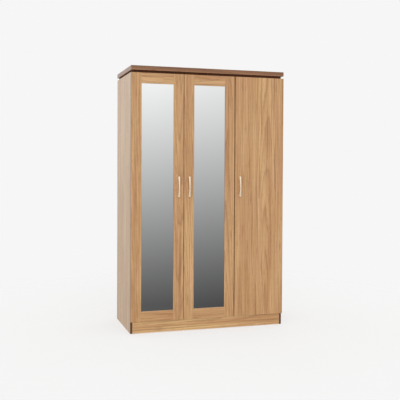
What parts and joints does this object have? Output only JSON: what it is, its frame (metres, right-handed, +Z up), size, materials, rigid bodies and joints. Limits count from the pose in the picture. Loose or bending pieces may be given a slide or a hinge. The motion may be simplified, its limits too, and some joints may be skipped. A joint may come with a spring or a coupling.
{
  "type": "wardrobe",
  "caption": "Free-standing wardrobe with hinged framed-mirror doors and a plain oak door, walnut top board over a shadow gap, hanging rail, hat shelf and loose shelves behind.",
  "frame": {"origin": "on the floor under the middle of the whole outline, handles included", "axes": "+Z up, doors face -Y, +X to the right of someone who faces the doors"},
  "size_m": [1.113, 0.547, 1.825],
  "materials": {
    "oak": "oak-effect foil on particleboard, satin",
    "walnut": "walnut-effect foil on particleboard, satin",
    "dark_walnut": "dark walnut-effect foil, satin",
    "hardboard": "thin printed hardboard, matte",
    "mirror": "silvered float glass",
    "satin_nickel": "satin nickel plate",
    "chrome": "chrome-plated steel tube",
    "zinc": "bright zinc plate",
    "hinge_steel": "nickel-plated pressed steel",
    "white_plastic": "moulded white plastic",
    "clear_plastic": "soft clear plastic"
  },
  "bodies": {
    "carcass": {"side_panel_left": "oak", "side_panel_right": "oak", "side_edging": "walnut", "centre_partition": "oak", "bottom_board": "oak", "carcass_top": "oak", "top_board": "walnut", "spacer_strips": "dark_walnut", "plinth_front": "oak", "plinth_back": "oak", "plinth_support": "oak", "back_panel_left": "hardboard", "back_panel_middle": "hardboard", "back_panel_right": "hardboard", "back_joint_strip": "white_plastic", "hat_shelf": "oak", "hanging_rail": "chrome", "rail_sockets": "zinc", "shelf_lower": "oak", "shelf_middle": "oak", "shelf_upper": "oak", "shelf_pins": "zinc", "cam_locks": "zinc", "cam_bolts": "zinc", "back_nails": "hinge_steel", "floor_glides": "white_plastic", "hinge_plates": "zinc", "hinge_arms": "hinge_steel", "carcass_screws": "zinc"},
    "door_left": {"hinge_stile_left": "oak", "handle_stile_left": "oak", "top_rail_left": "oak", "bottom_rail_left": "oak", "mirror_left": "mirror", "mirror_backing_left": "hardboard", "mirror_beads_left": "oak", "handle_left": "satin_nickel", "hinge_cups_left": "hinge_steel", "door_screws_left": "zinc", "bumpers_left": "clear_plastic"},
    "door_middle": {"hinge_stile_middle": "oak", "handle_stile_middle": "oak", "top_rail_middle": "oak", "bottom_rail_middle": "oak", "mirror_middle": "mirror", "mirror_backing_middle": "hardboard", "mirror_beads_middle": "oak", "handle_middle": "satin_nickel", "hinge_cups_middle": "hinge_steel", "door_screws_middle": "zinc", "bumpers_middle": "clear_plastic"},
    "door_right": {"door_panel_right": "oak", "handle_right": "satin_nickel", "hinge_cups_right": "hinge_steel", "door_screws_right": "zinc", "bumpers_right": "clear_plastic"},
    "links_left": {"hinge_links_left": "hinge_steel"},
    "links_middle": {"hinge_links_middle": "hinge_steel"},
    "links_right": {"hinge_links_right": "hinge_steel"}
  },
  "joints": [
    {"name": "door_left_hinge", "type": "hinge", "parent": "carcass", "child": "door_left", "pos_m": [-0.551, -0.242, 0.931], "axis": [0, 0, -1], "range_deg": [0, 95]},
    {"name": "door_middle_hinge", "type": "hinge", "parent": "carcass", "child": "door_middle", "pos_m": [0.179, -0.242, 0.931], "axis": [0, 0, 1], "range_deg": [0, 95]},
    {"name": "door_right_hinge", "type": "hinge", "parent": "carcass", "child": "door_right", "pos_m": [0.551, -0.242, 0.931], "axis": [0, 0, 1], "range_deg": [0, 95]},
    {"name": "links_left_pivot", "type": "hinge", "parent": "carcass", "child": "links_left", "pos_m": [-0.5245, -0.2365, 0.931], "axis": [0, 0, -1], "range_deg": [-27, 0]},
    {"name": "links_middle_pivot", "type": "hinge", "parent": "carcass", "child": "links_middle", "pos_m": [0.1525, -0.2365, 0.931], "axis": [0, 0, 1], "range_deg": [-27, 0]},
    {"name": "links_right_pivot", "type": "hinge", "parent": "carcass", "child": "links_right", "pos_m": [0.5245, -0.2365, 0.931], "axis": [0, 0, 1], "range_deg": [-27, 0]}
  ],
  "couplings": [
    {"joint": "links_left_pivot", "follows": "door_left_hinge", "ratio": -0.28},
    {"joint": "links_middle_pivot", "follows": "door_middle_hinge", "ratio": -0.28},
    {"joint": "links_right_pivot", "follows": "door_right_hinge", "ratio": -0.28}
  ]
}
